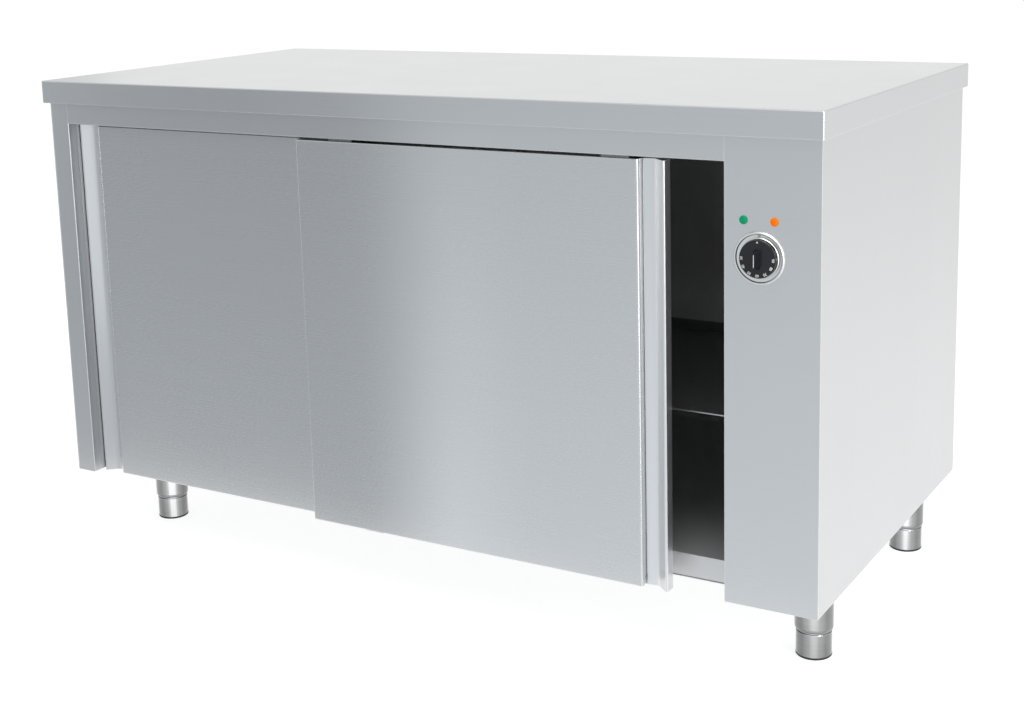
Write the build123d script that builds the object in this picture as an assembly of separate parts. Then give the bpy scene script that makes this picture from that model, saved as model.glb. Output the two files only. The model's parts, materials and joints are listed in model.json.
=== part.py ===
"""Heated plate cabinet in stainless sheet: worktop, two hung sliding doors, control column, four feet.

Millimetres. +X is right and +Z is up as one faces the cabinet, whose front looks along -Y.
The origin is on the floor, under the middle of the worktop. The right door stands partly open.
"""
import os
from math import cos, pi, radians, sin, tan

from build123d import *

os.makedirs("parts", exist_ok=True)

# ---------------------------------------------------------------- overall sizes
worktop_width = 1400.0
worktop_depth = 700.0
worktop_height = 832.0  # floor to worktop, feet screwed right in
worktop_edge = 38.0
leg_height = 132.0  # floor to the underside of the body
side_overhang = 6.0
front_overhang = 12.0
back_overhang = 10.0

# ---------------------------------------------------------------- sheet metal
sheet = 1.2
bend = 1.0  # inner radius of every fold
flange = 20.0
lip_return = 20.0  # inward return under the worktop edge
stiffener_height = 24.0
stiffener_width = 40.0
stiffener_foot = 15.0
stiffener_pitch = 200.0
stiffener_count = 3

# ---------------------------------------------------------------- front and walls
post_width = 38.0  # left side wall, seen from the front
column_width = 137.0
rail_height = 36.5
rail_hem = 6.0
back_wall = 35.0
floor_tray = 35.0  # height of the bottom shelf over the base panel

# ---------------------------------------------------------------- doors
door_overlap = 57.0  # when both doors are closed
door_thickness = 20.0
door_gap = 5.0  # between the two doors
door_back_gap = 6.0  # behind the inner door
door_side_gap = 1.0
door_top_gap = 3.5
door_drop = 4.0  # how far the doors hang below the body
right_door_open = 86.6
liner_flange = 10.0
guide_groove = 5.0
guide_groove_depth = 15.0
door_end_bend = 4.3  # inner radius of the fold beside the grip
grip_width = 40.0
grip_near_depth = 12.7
grip_depth = 15.5
grip_slope = 42.0
grip_hollow_radius = 10.0
grip_nose_radius = 1.3  # inner

# ---------------------------------------------------------------- door track and trolleys
track_wall = 1.5
lane_width = 12.4
lane_slot = 5.0
wheel_radius = 9.0
wheel_width = 3.8
wheel_hub_radius = 5.0
roller_gap = 0.3
axle_gap = 0.2  # axle end to lane wall
roller_head_gap = 0.8
axle_radius = 3.0
running_gap = 0.05
hanger_thickness = 3.0
hanger_width = 44.0
hanger_head = 24.0
hanger_foot = 9.0
hanger_inset = 80.0
stop_length = 12.0
stop_gap = 1.0
guide_plate = 1.5
guide_plate_gap = 1.8
guide_width = 8.0
guide_play = 0.4
guide_bracket_width = 34.0
guide_bracket_flange = 34.0

# ---------------------------------------------------------------- shelf
shelf_height = 384.0
shelf_front_gap = 9.0
shelf_depth = 423.0
shelf_lip = 30.0
shelf_hem = 12.0
shelf_upstand = 17.0
shelf_end_gap = 10.0
upright_width = 25.0
upright_thickness = 8.0
upright_inset = 58.0
upright_slot = 14.0
upright_slot_height = 4.0
upright_pitch = 50.0
clip_width = 18.0
clip_reach = 20.0
clip_leg = 26.0
clip_sheet = 2.0

# ---------------------------------------------------------------- feet
foot_side_inset = 70.0  # worktop end to the foot's axis
foot_front_inset = 165.0
foot_back_inset = 54.0
sleeve_radius = 29.0
sleeve_bottom = 41.0
sleeve_wall = 1.5
sleeve_shoulder = 6.0  # height over which the sleeve is drawn in
sleeve_cap = 6.0
foot_radius = 26.8
neck_radius = 25.4  # upper part, which slides in the sleeve
neck_gap = 2.0  # shoulder to sleeve, screwed right in
foot_wall = 1.5
foot_floor = 3.0
foot_play = 0.3
foot_travel = 30.0
pad_height = 3.4
pad_radius = 27.0
spindle_radius = 6.0
thread_plate = 8.0
stud_radius = 6.0
stud_play = 0.25
nut_height = 10.0
nut_width = 19.0
channel_width = 44.0
channel_sheet = 2.0
channel_overrun = 45.0

# ---------------------------------------------------------------- controls
knob_from_panel_edge = 51.0
knob_height = 630.0
knob_radius = 26.2
knob_skirt = 8.0
knob_lift = 1.2
knob_bar_length = 28.0
knob_bar_width = 10.0
knob_bar_height = 13.0
knob_bar_taper = 14.0
bezel_radius = 36.5
bezel_bore = 27.1
bezel_height = 4.0
bezel_rim = 3.0
shaft_radius = 3.0
shaft_reach = 16.0
bushing_radius = 5.0
thermostat_size = 40.0
thermostat_depth = 26.0
lamp_spacing = 44.0
lamp_rise = 50.5
lamp_offset = -1.0
lamp_lens_radius = 6.0
lamp_dome = 3.0
lamp_body_radius = 4.5
lamp_length = 24.0

# ---------------------------------------------------------------- heater unit in the column
fan_size = 119.0
fan_depth = 25.0
fan_bore_radius = 57.0
fan_corner = 4.0
fan_base_radius = 22.0
fan_base = 3.0
fan_arm_width = 6.0
fan_arms = 3
fan_shaft_radius = 2.0
fan_tip_gap = 3.0
fan_blades = 7
fan_blade_thickness = 1.6
fan_blade_pitch = 38.0
fan_hub_wall = 2.0
fan_height = 390.0
duct_to_terminals = 66.0
duct_bottom = 178.0
duct_top = 520.0
duct_flange = 14.0
element_radius = 4.25
element_spacing = 56.0
element_reach = 95.0
element_tail = 25.0
element_height = 285.0
element_pitch = 40.0
element_count = 2
wire_lead = 40.0  # how far a lead runs clear before it turns
vent_slot = 26.0
vent_slot_height = 5.0
vent_column_pitch = 36.0
vent_row_pitch = 14.0
vent_columns = 3
vent_rows = 6
outlet_height = 222.0
intake_height = 472.0

# ---------------------------------------------------------------- supply
gland_height = 205.0
gland_offset = 62.0  # from the column's right side
gland_bore = 5.0
gland_length = 20.0  # barrel inside the back panel
gland_barrel = 8.0
gland_hex = 24.0
gland_hex_height = 5.0
gland_dome_radius = 11.0
gland_dome = 5.0
terminal_length = 60.0
terminal_depth = 24.0
terminal_height = 22.0
terminal_ways = 5
terminal_gap = 10.0
terminal_back_gap = 60.0
wire_radius = 2.5
wire_bend = 14.0
bulb_radius = 3.0
bulb_length = 75.0
capillary_radius = 1.2
screw_radius = 2.0
screw_head = 4.0
screw_head_height = 2.4
screw_length = 7.0
back_screw_rows = 5
track_screws = 4

# ---------------------------------------------------------------- planes that the sizes give
left = -worktop_width / 2 + side_overhang
right = worktop_width / 2 - side_overhang
front = -worktop_depth / 2 + front_overhang
back = worktop_depth / 2 - back_overhang
body_bottom = leg_height
body_top = worktop_height - worktop_edge
bay_depth = 2 * door_thickness + door_gap + door_back_gap
carcass_front = front + bay_depth
hot_left = left + post_width
hot_right = right - column_width
hot_back = back - back_wall
rail_bottom = body_top - rail_height
base_top = body_bottom + 2 * sheet
floor_top = base_top + floor_tray
column_left = hot_right + sheet
back_inside = back - 2 * sheet
side_left = left + sheet + bend  # flat panels stop short of the folds they lie against
side_right = right - sheet - bend

door_width = (hot_right - hot_left - 2 * door_side_gap + door_overlap) / 2
door_bottom = body_bottom - door_drop
door_top = rail_bottom - door_top_gap
right_door_end = hot_right - door_side_gap - right_door_open
left_door_end = hot_left + door_side_gap
right_face = front
left_face = front + door_thickness + door_gap
lanes = {"right": right_face + door_thickness / 2, "left": left_face + door_thickness / 2}

track_ceiling = body_top - sheet - track_wall
track_lips = track_ceiling - 2 * wheel_radius - roller_gap - roller_head_gap
axle_height = track_lips + roller_gap + wheel_radius

foot_places = {
    "front_left": (-worktop_width / 2 + foot_side_inset, front + foot_front_inset),
    "front_right": (worktop_width / 2 - foot_side_inset, front + foot_front_inset),
    "back_left": (-worktop_width / 2 + foot_side_inset, back - foot_back_inset),
    "back_right": (worktop_width / 2 - foot_side_inset, back - foot_back_inset),
}
knob_x = hot_right + knob_from_panel_edge
terminal_x = column_left + terminal_gap
terminal_y = hot_back - terminal_back_gap - terminal_length
duct_back = terminal_y - duct_to_terminals
duct_front = duct_back - fan_size
element_levels = [element_height + index * element_pitch for index in range(element_count)]
fan_x = column_left + fan_size / 2
fan_y = duct_front + fan_size / 2


# ---------------------------------------------------------------- shared shapes
def block(x, y, z):
    """A box that fills three (low, high) ranges."""
    size = Box(x[1] - x[0], y[1] - y[0], z[1] - z[0])
    return Pos((x[0] + x[1]) / 2, (y[0] + y[1]) / 2, (z[0] + z[1]) / 2) * size


def along_x(section, low, high):
    """Extrude a (y, z) section from low to high in X."""
    return extrude(Plane.YZ.offset(low) * section, high - low)


def along_y(section, low, high):
    """Extrude an (x, z) section from low to high in Y."""
    return extrude(Plane.XZ.offset(-high) * section, high - low)


def along_z(section, low, high):
    """Extrude an (x, y) section from low to high in Z."""
    return extrude(Plane.XY.offset(low) * section, high - low)


def rounded(points, radii):
    """Face inside a closed outline whose corners each have their own radius, 0 for a sharp one."""
    edges, ends = [], []
    for before, corner, after, radius in zip(points[-1:] + points, points, points[1:] + points[:1], radii):
        inward, onward = (before - corner).normalized(), (after - corner).normalized()
        bisector = (inward + onward).normalized()
        half_sine = inward.cross(bisector).length
        tangent = radius * inward.dot(bisector) / half_sine
        start, end = corner + inward * tangent, corner + onward * tangent
        ends.append((start, end))
        if radius > 0:
            middle = corner + bisector * (radius / half_sine - radius)
            edges.append(ThreePointArc(start, middle, end))
    for (_, end), (start, _) in zip(ends, ends[1:] + ends[:1]):
        edges.append(Line(end, start))
    return make_face(edges)


def folded(*path, thickness=sheet, radii=None):
    """Section of a folded sheet: path is one face, and the thickness lies to the left of the walk."""
    points = [Vector(*point) for point in path]
    radii = radii or [bend] * (len(points) - 2)
    steps = [(b - a).normalized() for a, b in zip(points, points[1:])]
    normals = [Vector(-step.Y, step.X) for step in steps]
    far = [points[0] + normals[0] * thickness]
    near_radii, far_radii = [0.0], [0.0]
    for corner, before, after, radius in zip(points[1:-1], normals, normals[1:], radii):
        far.append(corner + (before + after) * (thickness / (1 + before.dot(after))))
        turns_left = before.cross(after).Z > 0
        near_radii.append(radius + thickness if turns_left else radius)
        far_radii.append(radius if turns_left else radius + thickness)
    far.append(points[-1] + normals[-1] * thickness)
    return rounded(points + far[::-1], near_radii + [0.0, 0.0] + far_radii[::-1])


def turned(*profile):
    """Revolve an (r, z) outline about Z."""
    return revolve(Plane.XZ * make_face(Polyline(*profile, close=True)), Axis.Z)


def tube(points, radius, corner):
    """A round bar along straight runs joined by arcs."""
    path = FilletPolyline(*points, radius=corner)
    return sweep(Plane(path @ 0, z_dir=path % 0) * Circle(radius), path)


def hexagon(width, height):
    """A hexagon bar of the given width across flats, standing on Z = 0."""
    return extrude(RegularPolygon(width / 2, 6, major_radius=False), height)


def facing_front(piece, x, z):
    """Place a piece built on Z = 0 on the front panel, its +Z outwards."""
    return Pos(x, front, z) * Rot(90, 0, 0) * piece


def pan_screw():
    """A pan head on Z = 0 with its shank below."""
    head = fillet(Cylinder(screw_head, screw_head_height, align=base).edges().sort_by(Axis.Z)[-1], 1.4)
    return head + Cylinder(screw_radius, screw_length, align=hung)


def shank_hole(length):
    """The hole for a pan screw's shank."""
    return Cylinder(screw_radius, length)


base = (Align.CENTER, Align.CENTER, Align.MIN)
hung = (Align.CENTER, Align.CENTER, Align.MAX)
pieces = {}

# ---------------------------------------------------------------- screw places
back_screw_pitch = (body_top - body_bottom - 4 * flange) / (back_screw_rows - 1)
back_screws = [
    (side * (right - flange / 2), back_inside, body_bottom + 2 * flange + row * back_screw_pitch)
    for side in (-1, 1)
    for row in range(back_screw_rows)
]
track_middle = (lanes["right"] + lanes["left"]) / 2


# ---------------------------------------------------------------- worktop
def worktop():
    half_width, half_depth = worktop_width / 2, worktop_depth / 2
    outer = block((-half_width, half_width), (-half_depth, half_depth), (body_top, worktop_height))
    rounded = outer.edges().filter_by(Axis.Z) + outer.faces().sort_by(Axis.Z)[-1].edges()
    outer = fillet(rounded, bend + sheet)
    inside_x = (-half_width + sheet, half_width - sheet)
    inside_y = (-half_depth + sheet, half_depth - sheet)
    hollow = block(inside_x, inside_y, (body_top + sheet, worktop_height - sheet))
    mouth_x = (inside_x[0] + lip_return, inside_x[1] - lip_return)
    mouth_y = (inside_y[0] + lip_return, inside_y[1] - lip_return)
    return outer - hollow - block(mouth_x, mouth_y, (body_top, body_top + sheet))


def hat(y, top, low, high):
    """Hat channel along X, spot-welded under a sheet whose lower face is at top."""
    crown = top - stiffener_height
    side = stiffener_width / 2
    outer = side + stiffener_foot
    path = [(outer, top), (side, top), (side, crown), (-side, crown), (-side, top), (-outer, top)]
    return Pos(0, y, 0) * along_x(folded(*path), low, high)


pieces["worktop"] = worktop()
hat_reach = worktop_width / 2 - 2 * lip_return
hat_places = [(index - (stiffener_count - 1) / 2) * stiffener_pitch for index in range(stiffener_count)]
worktop_hats = [hat(y, worktop_height - sheet, -hat_reach, hat_reach) for y in hat_places]


# ---------------------------------------------------------------- body panels
def left_side_panel():
    """Outer side with the front post folded from the same sheet."""
    wrap = folded(
        (left + flange, back), (left, back), (left, front), (hot_left, front), (hot_left, carcass_front)
    )
    ends = folded(
        (left + flange, body_top), (left, body_top), (left, body_bottom), (left + flange, body_bottom)
    )
    panel = along_z(wrap, body_bottom, body_top) + along_y(ends, front, back)
    return drilled(panel)


def right_side_panel():
    edge = front + sheet
    wrap = folded((right - flange, edge), (right, edge), (right, back), (right - flange, back))
    ends = folded(
        (right - flange, body_bottom), (right, body_bottom), (right, body_top), (right - flange, body_top)
    )
    panel = along_z(wrap, body_bottom, body_top) + along_y(ends, edge, back)
    return drilled(panel)


def back_panel():
    height = (base_top, body_top - sheet - bend)
    panel = block((side_left, side_right), (back_inside, back_inside + sheet), height)
    entry = Pos(gland_x, back_inside, gland_height) * Rot(90, 0, 0)
    return drilled(panel) - entry * Cylinder(gland_barrel, flange)


def drilled(panel):
    """Cut the back screws' holes."""
    for place in back_screws:
        panel -= Pos(*place) * Rot(90, 0, 0) * shank_hole(2 * flange)
    return panel


def base_panel():
    """Outer bottom, with tongues under the post and the column on each side of the doors' bay."""
    nose = front + 2 * sheet + bend
    outline = Polyline(
        (side_left, nose),
        (hot_left - sheet, nose),
        (hot_left - sheet, carcass_front),
        (column_left, carcass_front),
        (column_left, nose),
        (side_right, nose),
        (side_right, back_inside),
        (side_left, back_inside),
        close=True,
    )
    panel = along_z(make_face(outline), body_bottom + sheet, base_top)
    for x, y in foot_places.values():
        panel -= Pos(x, y, base_top) * Cylinder(stud_radius + stud_play, flange)
    return panel


def top_rail():
    rear = carcass_front + sheet
    section = folded(
        (rear, rail_bottom),
        (rear, body_top),
        (front, body_top),
        (front, rail_bottom),
        (front + rail_hem, rail_bottom),
    )
    return along_x(section, hot_left, hot_right)


def control_panel():
    wrap = folded((hot_right, carcass_front), (hot_right, front), (right, front))
    ends = folded(
        (front + flange, body_top), (front, body_top), (front, body_bottom), (front + flange, body_bottom)
    )
    panel = along_z(wrap, body_bottom, body_top) + along_x(ends, hot_right, right - flange - sheet)
    panel -= facing_front(Cylinder(bushing_radius, flange), knob_x, knob_height)
    for x in lamp_places:
        panel -= facing_front(Cylinder(lamp_body_radius, flange), x, lamp_height)
    return panel


gland_x = right - gland_offset
gland_end = back_inside + sheet - gland_length
lamp_height = knob_height + lamp_rise
lamp_places = [knob_x + lamp_offset + side * lamp_spacing / 2 for side in (-1, 1)]
pieces["left_side_panel"] = left_side_panel()
pieces["right_side_panel"] = right_side_panel()
pieces["back_panel"] = back_panel()
pieces["base_panel"] = base_panel()
pieces["top_rail"] = top_rail()
pieces["control_panel"] = control_panel()


# ---------------------------------------------------------------- lining of the hot compartment
def wall(x, away):
    """Side wall of the compartment: hot face at x, flanges pointing away from the heat."""
    rear = hot_back + sheet
    corners = [(x + away * flange, carcass_front), (x, carcass_front), (x, rear), (x + away * flange, rear)]
    path = corners[::-1] if away > 0 else corners
    return along_z(folded(*path), base_top, body_top - sheet)


def partition():
    panel = wall(hot_right, 1)
    for height in (outlet_height, intake_height):
        for column in range(vent_columns):
            for row in range(vent_rows):
                y = fan_y + (column - (vent_columns - 1) / 2) * vent_column_pitch
                z = height + (row - (vent_rows - 1) / 2) * vent_row_pitch
                slot = Plane.YZ * SlotOverall(vent_slot, vent_slot_height)
                panel -= Pos(hot_right, y, z) * extrude(slot, flange, both=True)
    return panel


def back_liner():
    rear = hot_back + flange
    section = folded((hot_left, rear), (hot_left, hot_back), (hot_right, hot_back), (hot_right, rear))
    return along_z(section, base_top, body_top - sheet)


def ceiling_liner():
    """Shallow tray, open upwards, that closes the compartment's top."""
    low, high = rail_bottom, rail_bottom + flange
    nose = carcass_front + sheet
    across = folded((hot_left, high), (hot_left, low), (hot_right, low), (hot_right, high))
    deep = folded((nose, high), (nose, low), (hot_back, low), (hot_back, high))
    return along_y(across, nose, hot_back) + along_x(deep, hot_left, hot_right)


def bottom_shelf():
    """Floor tray with lips on all sides and a return under the front lip."""
    across = folded(
        (hot_right, base_top), (hot_right, floor_top), (hot_left, floor_top), (hot_left, base_top)
    )
    deep = folded(
        (hot_back, base_top),
        (hot_back, floor_top),
        (carcass_front, floor_top),
        (carcass_front, base_top),
        (carcass_front + shelf_hem, base_top),
    )
    return along_y(across, carcass_front, hot_back) + along_x(deep, hot_left, hot_right)


def insulation_panels():
    """Mineral wool slabs: left wall, back wall, ceiling and floor."""
    top = body_top - sheet - bend
    fold = sheet + bend
    across = (hot_left + fold, hot_right - fold)
    nose = carcass_front + sheet
    channel_right = foot_places["front_left"][0] + channel_width / 2
    return [
        block((left + sheet, hot_left - sheet), (nose + bend, hot_back - bend), (base_top, top)),
        block(across, (hot_back + sheet, back_inside), (base_top, top)),
        block(across, (nose + fold, hot_back - fold), (rail_bottom + sheet, top)),
        block(
            (channel_right, hot_right - fold),
            (carcass_front + flange, hot_back - fold),
            (base_top, floor_top - sheet),
        ),
    ]


pieces["left_liner"] = wall(hot_left, -1)
pieces["partition"] = partition()
pieces["back_liner"] = back_liner()
pieces["ceiling_liner"] = ceiling_liner()
pieces["bottom_shelf"] = bottom_shelf()
pieces["insulation_panels"] = Compound(children=insulation_panels())


# ---------------------------------------------------------------- middle shelf and its supports
shelf_front = carcass_front + shelf_front_gap
shelf_left = hot_left + shelf_end_gap
shelf_right = hot_right - shelf_end_gap
upright_places = [shelf_front + upright_inset, shelf_front + shelf_depth - upright_inset]


def mid_shelf():
    """Shelf with a closed hem in front, an upstand behind and a lip at each end."""
    low = shelf_height - shelf_lip
    rear = shelf_front + shelf_depth
    top, under = shelf_height, shelf_height - 2 * sheet
    deep = folded((rear, top + shelf_upstand), (rear, top), (shelf_front + sheet, top))
    corners = [(shelf_front, top), (shelf_front, under)]
    corners += [(shelf_front + shelf_hem, under), (shelf_front + shelf_hem, top)]
    hem = rounded([Vector(*corner) for corner in corners], [0.9 * sheet, 0.9 * sheet, 0, 0])
    across = folded(
        (shelf_right, low), (shelf_right, shelf_height), (shelf_left, shelf_height), (shelf_left, low)
    )
    return along_x(deep + hem, shelf_left, shelf_right) + along_y(across, shelf_front + shelf_hem, rear)


def upright(y):
    """Slotted strip on the left wall, facing +X."""
    face = hot_left + upright_thickness
    side = upright_width / 2
    section = folded(
        (hot_left, y - side), (face, y - side), (face, y + side), (hot_left, y + side), thickness=sheet
    )
    low, high = floor_top + flange, rail_bottom - flange
    strip = along_z(section, low, high)
    slot_y = (y - upright_slot / 2, y + upright_slot / 2)
    slot = block((face - 2 * sheet, face + sheet), slot_y, (0, upright_slot_height))
    first = shelf_height - shelf_lip - clip_leg / 2
    for step in range(-3, 6):
        strip -= Pos(0, 0, first + step * upright_pitch) * slot
    return strip


def clip(y):
    """Support angle hung on a left upright, its tongue under the shelf's end lip."""
    face = hot_left + upright_thickness
    top = shelf_height - shelf_lip
    section = folded((face + clip_reach, top), (face, top), (face, top - clip_leg), thickness=clip_sheet)
    return along_y(section, y - clip_width / 2, y + clip_width / 2)


def both_sides(piece):
    """A piece on the left wall and its mirror image on the partition."""
    middle = (hot_left + hot_right) / 2
    return [piece, mirror(piece, about=Plane.YZ.offset(middle))]


pieces["mid_shelf"] = mid_shelf()
shelf_hat = hat(
    shelf_front + shelf_depth / 2, shelf_height - sheet, shelf_left + flange, shelf_right - flange
)
pieces["stiffeners"] = Compound(children=[*worktop_hats, shelf_hat])
uprights = [half for y in upright_places for half in both_sides(upright(y))]
clips = [half for y in upright_places for half in both_sides(clip(y))]
pieces["shelf_uprights"] = Compound(children=uprights)
pieces["shelf_clips"] = Compound(children=clips)


# ---------------------------------------------------------------- door track, stops and lower guide
def door_track():
    """Double C-track, one lane for each door, open downwards."""
    outer = lane_width / 2 + track_wall
    section = Sketch()
    for middle in lanes.values():
        channel = Pos(middle, track_lips - track_wall) * Rectangle(
            2 * outer, track_ceiling - track_lips + 2 * track_wall, align=(Align.CENTER, Align.MIN)
        )
        hollow = Pos(middle, track_lips) * Rectangle(
            lane_width, track_ceiling - track_lips, align=(Align.CENTER, Align.MIN)
        )
        slot = Pos(middle, track_lips) * Rectangle(lane_slot, 4 * track_wall)
        section += channel - hollow - slot
    web = Pos(track_middle, track_ceiling) * Rectangle(
        lanes["left"] - lanes["right"], track_wall, align=(Align.CENTER, Align.MIN)
    )
    track = along_x(section + web, hot_left + door_side_gap, hot_right - door_side_gap)
    for x in track_screw_places:
        track -= Pos(x, track_middle, track_ceiling) * shank_hole(flange)
    return track


def track_stops():
    """Rubber buffers in each lane that the trolleys meet at the ends of their travel."""
    travel_left = hot_left + door_side_gap + hanger_inset - hanger_head / 2 - stop_gap
    travel_right = hot_right - door_side_gap - hanger_inset + hanger_head / 2 + stop_gap
    buffers = []
    for middle in lanes.values():
        side = (middle - lane_width / 2, middle + lane_width / 2)
        for low in (travel_left - stop_length, travel_right):
            buffers.append(block((low, low + stop_length), side, (track_lips, track_ceiling)))
    return Compound(children=buffers)


guide_x = (hot_left + hot_right) / 2
guide_top = door_bottom - guide_plate_gap
guide_nose = lanes["right"] - guide_groove / 2
guide_screws = [
    (guide_x + side * guide_bracket_width / 4, carcass_front + guide_bracket_flange / 2) for side in (-1, 1)
]
track_screw_places = [
    (hot_left + hot_right) / 2 + (index - (track_screws - 1) / 2) * (hot_right - hot_left) / track_screws
    for index in range(track_screws)
]


def guide_bracket():
    """Cranked plate under the base panel that carries the two lower guides."""
    under = body_bottom + sheet
    section = folded(
        (carcass_front + guide_bracket_flange, under),
        (carcass_front + sheet, under),
        (carcass_front - door_back_gap / 2, guide_top),
        (guide_nose, guide_top),
        thickness=guide_plate,
    )
    half = guide_bracket_width / 2
    plate = along_x(section, guide_x - half, guide_x + half)
    for x, y in guide_screws:
        plate -= Pos(x, y, under) * shank_hole(flange)
    return plate


def door_guides():
    """Nylon fins, one in the groove of each door."""
    height = door_drop + guide_plate_gap + guide_groove_depth / 2
    fins = []
    for middle in lanes.values():
        fin = SlotOverall(guide_width, guide_groove - 2 * guide_play)
        fins.append(Pos(guide_x, middle, guide_top) * extrude(fin, height))
    return Compound(children=fins)


pieces["door_track"] = door_track()
pieces["track_stops"] = track_stops()
pieces["guide_bracket"] = guide_bracket()
pieces["door_guides"] = door_guides()
for x, y in guide_screws:
    pieces["base_panel"] -= Pos(x, y, base_top) * shank_hole(flange)
for x in track_screw_places:
    pieces["top_rail"] -= Pos(x, track_middle, body_top) * shank_hole(flange)


# ---------------------------------------------------------------- doors
# A door is drawn with its grip at the right: X runs from -door_width to 0, Y from its face to its back.
groove_front = (door_thickness - guide_groove) / 2
groove_back = (door_thickness + guide_groove) / 2
groove_top = door_bottom + guide_groove_depth
panel_end = -grip_width
hanger_places = [-door_width + hanger_inset, -hanger_inset]


def groove():
    """The slot along the door's lower edge that the guide fin runs in."""
    return block((-door_width - 1, 0), (groove_front, groove_back), (door_bottom - 1, groove_top))


def door_skin():
    """Front sheet folded back along all four edges, the fold beside the grip larger than the rest."""
    wrap = folded(
        (-door_width, door_thickness),
        (-door_width, 0),
        (panel_end, 0),
        (panel_end, door_thickness),
        radii=[bend, door_end_bend],
    )
    ends = folded(
        (door_thickness, door_top),
        (0, door_top),
        (0, door_bottom),
        (groove_front, door_bottom),
        (groove_front, groove_top),
    )
    deep = door_thickness
    seen_above = [(-door_width, deep), (-door_width, 0), (panel_end, 0), (panel_end, deep)]
    seen_endways = [(deep, door_top), (0, door_top), (0, door_bottom), (deep, door_bottom)]
    above = rounded([Vector(*point) for point in seen_above], [0, bend + sheet, door_end_bend + sheet, 0])
    endways = rounded([Vector(*point) for point in seen_endways], [0, bend + sheet, bend + sheet, 0])
    outline = along_z(above, door_bottom, door_top) & along_x(endways, -door_width, panel_end)
    walls = along_z(wrap, door_bottom, door_top) + along_x(ends, -door_width, panel_end)
    return (walls & outline) - groove()


def door_liner():
    near, far = -door_width + sheet, panel_end - sheet
    top = door_top - sheet
    fold_line = door_thickness - liner_flange
    ends = folded(
        (groove_back, groove_top),
        (groove_back, door_bottom),
        (door_thickness, door_bottom),
        (door_thickness, top),
        (fold_line, top),
    )
    wrap = folded((far, fold_line), (far, door_thickness), (near, door_thickness), (near, fold_line))
    return along_x(ends, near, far) + along_z(wrap, groove_top, top)


def door_insulation():
    return block(
        (-door_width + 2 * sheet + bend, panel_end - sheet - door_end_bend),
        (sheet, door_thickness - sheet),
        (groove_top + sheet, door_top - 2 * sheet - bend),
    )


def door_grip():
    """Hollow folded finger pull: a trough beside the panel whose far side slopes up to a rounded nose."""
    steep = radians(grip_slope)
    nose = (grip_nose_radius + sheet) * (1 / tan((pi / 2 - steep) / 2) - 1)
    slope_start = -(grip_depth + nose) / tan(steep)
    section = folded(
        (panel_end, door_thickness),
        (panel_end, grip_near_depth),
        (slope_start, grip_depth),
        (0, -nose),
        (0, door_thickness),
        (panel_end + 2 * sheet, door_thickness),
        radii=[bend, grip_hollow_radius, grip_nose_radius, bend],
    )
    return along_z(section, door_bottom, door_top)


def hanger(x):
    """Angle bolted on the door's top, with the trolley's axle riveted through its upright."""
    middle = door_thickness / 2
    rise = axle_height - door_top
    foot_line = Rectangle(hanger_width, hanger_thickness, align=(Align.CENTER, Align.MIN))
    head = Pos(0, rise) * Circle(hanger_head / 4)
    neck = Pos(0, rise - wheel_radius) * Rectangle(hanger_head, 1)
    outline = make_hull(foot_line.edges() + neck.edges()) + make_hull(neck.edges() + head.edges())
    plate = along_y(outline, middle - hanger_thickness / 2, middle + hanger_thickness / 2)
    foot = block(
        (-hanger_width / 2, hanger_width / 2),
        (middle, middle + hanger_foot),
        (0, hanger_thickness),
    )
    axle = Pos(0, middle, rise) * Rot(90, 0, 0) * Cylinder(axle_radius, lane_width - 2 * axle_gap)
    return Pos(x, 0, door_top) * (plate + foot + axle)


def roller_pair(x):
    """Two nylon wheels on one axle, one on each side of the hanger."""
    inner = hanger_thickness / 2 + roller_gap
    outer = inner + wheel_width
    profile = [
        (axle_radius + running_gap, inner),
        (wheel_hub_radius, inner),
        (wheel_hub_radius, inner + wheel_width / 4),
        (wheel_radius, inner + wheel_width / 4),
        (wheel_radius, outer),
        (axle_radius + running_gap, outer),
    ]
    wheel = turned(*profile)
    pair = [Rot(90, 0, 0) * wheel, Rot(-90, 0, 0) * wheel]
    return [Pos(x, door_thickness / 2, axle_height) * half for half in pair]


def place_right(piece):
    return Pos(right_door_end, right_face, 0) * piece


def place_left(piece):
    return Pos(left_door_end, left_face, 0) * mirror(piece, about=Plane.YZ)


for side, place in (("right", place_right), ("left", place_left)):
    pieces[f"{side}_door_skin"] = place(door_skin())
    pieces[f"{side}_door_liner"] = place(door_liner())
    pieces[f"{side}_door_insulation"] = place(door_insulation())
    pieces[f"{side}_door_grip"] = place(door_grip())
    pieces[f"{side}_door_hangers"] = Compound(children=[place(hanger(x)) for x in hanger_places])
    for name, x in zip(("rear", "grip"), hanger_places):
        wheels = [place(half) for half in roller_pair(x)]
        pieces[f"{side}_door_{name}_rollers"] = Compound(children=wheels)


# ---------------------------------------------------------------- feet
sleeve_top = body_bottom + sheet
sleeve_ceiling = sleeve_top - sleeve_cap
spindle_top = sleeve_ceiling - roller_gap
plate_top = spindle_top - foot_travel
plate_bottom = plate_top - thread_plate
stud_top = base_top + channel_sheet + nut_height + sheet


def foot_sleeve():
    """Fixed sleeve: fixing stud on top, threaded plate inside, lower rim drawn in round the foot."""
    inner = sleeve_radius - sleeve_wall
    rim = neck_radius + foot_play
    edge = rim + sheet / 2
    shoulder = [
        (edge + (sleeve_radius - edge) * sin(angle), sleeve_bottom + sleeve_shoulder * (1 - cos(angle)))
        for angle in (0, pi / 6, pi / 3, pi / 2)
    ]
    return turned(
        (0, sleeve_ceiling),
        (inner, sleeve_ceiling),
        (inner, plate_top),
        (spindle_radius + running_gap, plate_top),
        (spindle_radius + running_gap, plate_bottom),
        (inner, plate_bottom),
        (inner, sleeve_bottom + sleeve_shoulder),
        (rim, sleeve_bottom + sleeve_shoulder / 4),
        (rim, sleeve_bottom),
        *shoulder,
        (sleeve_radius, sleeve_top),
        (stud_radius, sleeve_top),
        (stud_radius, stud_top),
        (0, stud_top),
    )


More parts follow.
